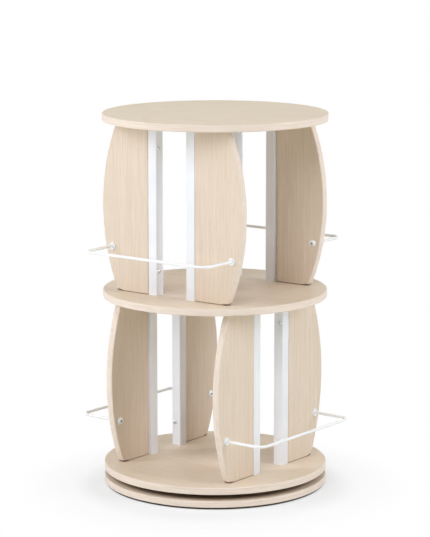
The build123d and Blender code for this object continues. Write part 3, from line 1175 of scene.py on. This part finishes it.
@dataclass
class WireRails:
    """Bent wire rails, each with a flange and a socket bolt at both ends."""

    repeats: Repeats
    bend_radius: float = 0.020
    wire_sides: int = 24
    bend_steps: int = 14
    wall_face: float = 0.1445
    inner_face: float = 0.1295
    coat: PowderCoat = PowderCoat(
        "white_rail_coat", light=paint(252, 252, 254), dark=paint(247, 248, 251), rough=(0.20, 0.28))
    # Satin plate for the rail bolts; its recess colour is painted shade in their sockets.
    plate: PlatedSteel = PlatedSteel(
        "satin_zinc", light=paint(247, 248, 250), dark=paint(236, 238, 241), recess=paint(176, 178, 183),
        metal=0.4, rough=(0.36, 0.48))
    flange: TurnedPiece = TurnedPiece("rail_flange", (
        (3.05, 0.0), (3.05, 0.9), (3.6, 0.95), (4.8, 1.25), (5.8, 2.1), (6.5, 2.8),
        (7.0, 3.0), (7.5, 2.85), (7.85, 2.45), (8.0, 1.9), (8.0, 0.0)), bored=True)
    bolt: TurnedPiece = TurnedPiece("rail_bolt", (
        (0, -23.0), (1.6, -23.0), (2.0, -22.4), (2.0, 0.0), (7.7, 0.0), (8.0, 0.25),
        (7.9, 0.75), (7.3, 1.65), (6.4, 2.45), (5.4, 3.0), (4.4, 3.35), (3.7, 3.5),
        (3.35, 3.5, Outline.HEXAGON), (3.0, 3.2, Outline.HEXAGON), (3.0, 1.3, Outline.HEXAGON),
        (0, 1.0)))

    @staticmethod
    def rail_tree() -> GeometryTree:
        """Tree that bends a wire from one panel of a wall out and round to the other.

        Returns:
            The tree.
        """
        tree = GeometryTree("bent_wire_rail")
        half, face, run = tree.input("Half Width"), tree.input("Wall Face"), tree.input("Front Run")
        radius, bend = tree.input("Wire Radius"), tree.input("Bend Radius")
        sides, steps = tree.input("Wire Sides", "NodeSocketInt"), tree.input("Bend Steps", "NodeSocketInt")
        # Four points: the two feet at the wall face are 1.5 steps from the middle, the two bends half a step.
        points = 4
        line = tree.out("GeometryNodeMeshLine", {"Count": points}, mode="OFFSET")
        path = tree.out("GeometryNodeMeshToCurve", {"Mesh": line})
        middle = tree.minus(tree.out("GeometryNodeInputIndex"), (points - 1) / 2)
        side = tree.times(tree.maths("SIGN", middle), half)
        at_front = tree.maths("LESS_THAN", tree.maths("ABSOLUTE", middle), 1.0)
        out = tree.maths("ADD", face, tree.times(at_front, tree.minus(run, face)))
        corners = tree.out("GeometryNodeSetPosition", {
            "Geometry": path, "Position": tree.joined(side, tree.times(out, -1.0), 0.0),
        })
        bent = tree.out("GeometryNodeFilletCurve", {
            "Curve": corners, "Count": steps, "Radius": bend, "Limit Radius": True,
        }, mode="POLY")
        section = tree.out("GeometryNodeCurvePrimitiveCircle", {"Resolution": sides, "Radius": radius})
        wire = tree.out("GeometryNodeCurveToMesh", {
            "Curve": bent, "Profile Curve": section, "Fill Caps": True,
        })
        tree.close(tree.out("GeometryNodeSetShadeSmooth", {"Geometry": wire}))
        return tree

    def build(self) -> None:
        """Makes the rails, flanges and bolts of both tiers."""
        tree = self.rail_tree()
        for tier in Tier:
            wire, half, front, level = tier.rail_line()
            for side, flip in zip(tier.sides, (0.0, math.pi)):
                piece = tree.make(f"wire_rail_{tier.label}_{side}", {
                    "Finish": self.coat.material(), "Level": level, "Turn": tier.turn + flip,
                    "Half Width": half, "Wall Face": self.wall_face, "Front Run": front,
                    "Wire Radius": wire, "Wire Sides": self.wire_sides,
                    "Bend Radius": self.bend_radius, "Bend Steps": self.bend_steps,
                })
                settle(piece, "case", self.coat.slot, f"{tier.label}_rail_{side}")
            for kind, pattern, finish, across, out in (
                ("flanges", self.flange, self.coat, self.wall_face, 1.0),
                ("bolts", self.bolt, self.plate, self.inner_face, -1.0),
            ):
                ends = Fitting(f"rail_end_{kind}_{tier.label}", f"{tier.label}_rail_{kind}", pattern, finish)
                self.repeats.at_corners(ends, tier, (half, across, level), (0.0, out, 0.0))


def sunk_bolt(name: str, length: float) -> TurnedPiece:
    """Pattern of a countersunk bolt with a hexagon socket.

    Args:
        name: Name of the pattern.
        length: Its length, in millimetres.

    Returns:
        The pattern, with the face of its head at height 0.
    """
    return TurnedPiece(name, (
        (0, -length), (2.4, -length), (3.0, 0.7 - length), (3.0, -3.3), (5.9, -0.15),
        (5.9, 0.0), (3.2, 0.0), (2.5, 0.0, Outline.HEXAGON), (2.3, -0.2, Outline.HEXAGON),
        (2.3, -2.0, Outline.HEXAGON), (0, -2.3)))


@dataclass
class Fasteners:
    """Screws through the posts into the panels, and bolts through the boards into the posts."""

    repeats: Repeats
    gap_face: float = 0.0375
    panel_middle: float = 0.137
    plate: PlatedSteel = PlatedSteel()
    screw: TurnedPiece = TurnedPiece("panel_screw", (
        (0, -52.0), (2.2, -46.0), (2.2, 0.0), (4.4, 0.0), (4.5, 0.3), (4.45, 0.9),
        (4.1, 1.6), (3.5, 2.1), (2.9, 2.35), (2.5, 2.4), (2.2, 2.4, Outline.CROSS),
        (1.9, 1.6, Outline.CROSS), (1.1, 0.9, Outline.CROSS), (0, 0.7)))
    open_bolt: TurnedPiece = sunk_bolt("open_board_bolt", 25.0)
    capped_bolt: TurnedPiece = sunk_bolt("capped_board_bolt", 24.2)

    def build(self) -> None:
        """Sets all screws and bolts."""
        for tier in Tier:
            low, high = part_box(f"{tier.label}_post_{tier.corners[0]}")
            place = (self.gap_face, self.panel_middle, low.z + SCREW_INSET)
            screws = Fitting(
                f"post_screws_{tier.label}", f"{tier.label}_panel_screws", self.screw, self.plate)
            self.repeats.at_corners(screws, tier, place, (-1.0, 0.0, 0.0),
                                    rows=2, rise=high.z - low.z - 2 * SCREW_INSET)
        for node, tier, bolt, facing in (
            ("bottom_shelf_bolts", Tier.LOWER, self.open_bolt, DOWN),
            ("middle_shelf_bolts_down", Tier.LOWER, self.capped_bolt, UP),
            ("middle_shelf_bolts_up", Tier.UPPER, self.open_bolt, DOWN),
            ("top_board_bolts", Tier.UPPER, self.capped_bolt, UP),
        ):
            low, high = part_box(node)
            level = high.z if facing == UP else low.z
            bolts = Fitting(f"sunk_{node}", node, bolt, self.plate)
            self.repeats.at_corners(bolts, tier, (*POST_PLACE, level), facing)


def ball_rings(radius: float, steps: int) -> tuple[Ring, ...]:
    """Radius and height of the rings of a ball.

    Args:
        radius: Its radius, in millimetres.
        steps: Strips from pole to pole.

    Returns:
        The rings, from the lower pole to the upper one.
    """
    angles = [math.pi * step / steps for step in range(steps + 1)]
    poles = (angles[0], angles[-1])
    return tuple((0 if angle in poles else radius * math.sin(angle), -radius * math.cos(angle))
                 for angle in angles)


@dataclass
class Turntable:
    """Ball bearing between the base and the bottom shelf, and the feet under the base."""

    repeats: Repeats
    track_radius: float = 0.096
    ball_count: int = 24
    lower_screw_circle: float = 0.075
    screw_count: int = 4
    solid_head: float = 0.004
    foot_circle: float = 0.200
    foot_count: int = 6
    sheet: GalvanisedSteel = GalvanisedSteel()
    polished: PolishedSteel = PolishedSteel()
    plate: PlatedSteel = PlatedSteel()
    cage_finish: MouldedPlastic = MouldedPlastic(
        "cage_nylon", "cage_plastic", paint(52, 52, 55), paint(70, 70, 72))
    rubber: MouldedPlastic = MouldedPlastic(
        "foot_rubber", "foot_rubber", paint(40, 40, 41), paint(58, 57, 56), rough=(0.65, 0.85),
        relief=(0.3, 0.0002))
    screw: TurnedPiece = TurnedPiece("race_screw", (
        (0, -12.0), (2.0, -9.5), (2.0, -2.2), (3.95, -0.1), (3.95, 0.0), (2.7, 0.0),
        (2.2, 0.0, Outline.CROSS), (1.8, -0.8, Outline.CROSS), (1.0, -1.5, Outline.CROSS),
        (0, -1.7)))
    ball: TurnedPiece = TurnedPiece("bearing_ball", ball_rings(4.0, 14), steps=24, crease=60.0)
    foot: TurnedPiece = TurnedPiece("foot_pad", (
        (0, 4.0), (14.0, 4.0), (13.8, 2.9), (13.1, 0.8), (12.8, 0.3), (12.4, 0.0),
        (9.6, 0.0), (9.2, 0.5), (8.4, 0.5), (8.0, 0.0), (4.6, 0.0), (4.2, 0.5),
        (0, 0.6)))

    def build(self) -> None:
        """Dresses the races and cage, and sets balls, screws and feet."""
        for node, finish in (
            ("lower_race", self.sheet), ("upper_race", self.sheet), ("ball_cage", self.cage_finish),
        ):
            dress(node, finish)
        low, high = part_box("bearing_balls")
        under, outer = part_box("upper_race_screws")
        upper_circle = (outer.x - self.solid_head) * math.sqrt(2)
        start = math.pi / self.screw_count
        for fitting, *places in (
            (Fitting("turntable_balls", "bearing_balls", self.ball, self.polished, "cage"),
             self.ball_count, self.track_radius, (low.z + high.z) / 2),
            (Fitting("lower_ring_screws", "lower_race_screws", self.screw, self.plate, "base"),
             self.screw_count, self.lower_screw_circle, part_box("lower_race_screws")[1].z, start),
            (Fitting("upper_ring_screws", "upper_race_screws", self.screw, self.plate),
             self.screw_count, upper_circle, under.z, start, DOWN),
            (Fitting("rubber_feet", "feet", self.foot, self.rubber, "base"),
             self.foot_count, self.foot_circle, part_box("feet")[0].z),
        ):
            self.repeats.round_axis(fitting, *places)


class Lamp(Enum):
    """Tall soft lamps of the studio: place, width and height, power and colour."""

    KEY = ((-2.4, -3.2, 2.1), (2.4, 3.4), 97.0, (0.94, 0.927, 1.0))
    FRONT = ((1.0, -3.7, 2.9), (2.4, 2.8), 57.5, (0.975, 0.963, 1.0))
    SIDE = ((4.0, 0.85, 2.2), (2.4, 3.4), 101.0, (0.95, 0.94, 1.0))
    BACK = ((1.0, 4.1, 2.1), (2.4, 3.4), 26.0, (0.95, 0.94, 1.0))


@dataclass
class Studio:
    """Pale floor, soft lamps, a bright ceiling and the camera at the photograph's angle."""

    floor_radius: float = 30.0
    floor_opening: float = 0.205
    floor_sides: int = 64
    floor_colour: Colour = paint(238, 241, 239)
    floor_seen: Colour = paint(236, 239, 246)
    lift: float = 0.60
    fade: Span = (0.234, 0.300)
    wide_lift: float = 0.82
    wide_fade: Span = (0.270, 0.430)
    fade_centre: Span = (0.024, -0.032)
    # Painted shadow on the floor just inside the rim of the base.
    under: Colour = paint(122, 120, 117)
    under_shadow_edge: Span = (0.2235, 0.2285)
    aim: Triple = (0.0, 0.0, 0.40)
    ceiling: float = 0.71
    ceiling_edge: Span = (0.55, 0.85)
    ceiling_colour: Colour = (0.95, 0.985, 0.765, 1.0)
    glow_below: float = 0.55
    below_edge: Span = (-0.10, -0.50)
    eye: Triple = (2.8096, -3.6648, 1.2772)
    tilt: Triple = (math.radians(79.807), 0.0, math.radians(37.48))
    lens: float = 153.215
    sensor: float = 36.0

    def build(self) -> None:
        """Builds the floor, lamps, world and camera."""
        self.floor()
        for lamp in Lamp:
            self.lamp(lamp)
        self.world()
        self.camera()
        bpy.context.scene.view_settings.view_transform = "Standard"

    def floor(self) -> None:
        """Lays the floor, seen from above only, with an opening under the base that lights its underside."""
        work = bmesh.new()
        rims = [bmesh.ops.create_circle(work, segments=self.floor_sides, radius=radius)["verts"]
                for radius in (self.floor_opening, self.floor_radius)]
        edges = {edge for rim in rims for point in rim for edge in point.link_edges}
        faces = bmesh.ops.bridge_loops(work, edges=list(edges))["faces"]
        bmesh.ops.reverse_faces(work, faces=[face for face in faces if face.normal.z < 0])
        floor = stand("studio_floor", work)
        floor.data.materials.append(self.floor_material())

    def floor_material(self) -> Material:
        """White floor that keeps the shadow, with a painted shadow just inside the rim of the base.

        Returns:
            The finished material.
        """
        tree = ShaderTree(bpy.data.materials.new("pale_floor"))
        x, y, _ = tree.parts(tree.place)
        # Just inside the rim of the base the floor's colour is a painted shadow, with no emission over it.
        out = tree.spread(tree.length(x, y), self.under_shadow_edge)
        pale = tree.mixed(tree.looked_at(), self.floor_colour, self.floor_seen)
        matt = tree.out("ShaderNodeBsdfDiffuse", {"Color": tree.mixed(out, self.under, pale)})
        aside, back = self.fade_centre
        off = tree.length(tree.minus(x, aside), tree.minus(y, back))
        near = tree.times(out, tree.spread(off, self.fade, self.lift, 1.0))
        far = tree.times(near, tree.spread(off, self.wide_fade, self.wide_lift, 1.0))
        seen = tree.either(far, matt, tree.out("ShaderNodeEmission"))
        seen = tree.either(tree.looked_at(), matt, seen)
        below = tree.node("ShaderNodeNewGeometry").outputs["Backfacing"]
        whole = tree.either(below, seen, tree.out("ShaderNodeBsdfTransparent"))
        tree.node("ShaderNodeOutputMaterial", {"Surface": whole})
        return tree.owner

    def lamp(self, lamp: Lamp) -> None:
        """Hangs one soft lamp.

        Args:
            lamp: Which one.
        """
        place, (width, height), power, colour = lamp.value
        light = bpy.data.lights.new(f"{lamp.name.lower()}_lamp", "AREA")
        light.shape = "ELLIPSE"
        light.size = width
        light.size_y = height
        light.energy = power
        light.color = colour
        holder = stand(light.name, light)
        holder.location = place
        holder.rotation_euler = (Vector(self.aim) - Vector(place)).to_track_quat("-Z", "Y").to_euler()

    def world(self) -> None:
        """Hangs a soft white ceiling and lets the camera see white all round."""
        bpy.context.scene.world = bpy.data.worlds.new("studio_white")
        tree = ShaderTree(bpy.context.scene.world)
        _, _, up = tree.parts(tree.node("ShaderNodeTexCoord").outputs["Generated"])
        light = tree.maths("ADD", tree.spread(up, self.ceiling_edge, 0.0, self.ceiling),
                           tree.spread(up, self.below_edge, 0.0, self.glow_below))
        back = tree.out("ShaderNodeBackground", {
            "Color": tree.mixed(tree.looked_at(), self.ceiling_colour, WHITE),
            "Strength": tree.out("ShaderNodeMix", {0: tree.looked_at(), 2: light, 3: 1.0}),
        })
        tree.node("ShaderNodeOutputWorld", {"Surface": back})

    def camera(self) -> None:
        """Sets the camera as the photograph was taken."""
        data = bpy.data.cameras.new("camera")
        data.sensor_width = self.sensor
        data.lens = self.lens
        holder = stand("camera", data)
        holder.location = self.eye
        holder.rotation_euler = self.tilt
        bpy.context.scene.camera = holder


def main() -> None:
    """Builds the looks of the bookcase, piece by piece."""
    logging.basicConfig(level=logging.INFO, format="%(name)s: %(message)s")
    repeats = Repeats()
    Studio().build()
    for assembly in (
        RoundBoards(repeats), Walls(), WireRails(repeats), Fasteners(repeats), Turntable(repeats),
    ):
        log.info("building %s", type(assembly).__name__)
        assembly.build()


if __name__ == "__main__":
    main()
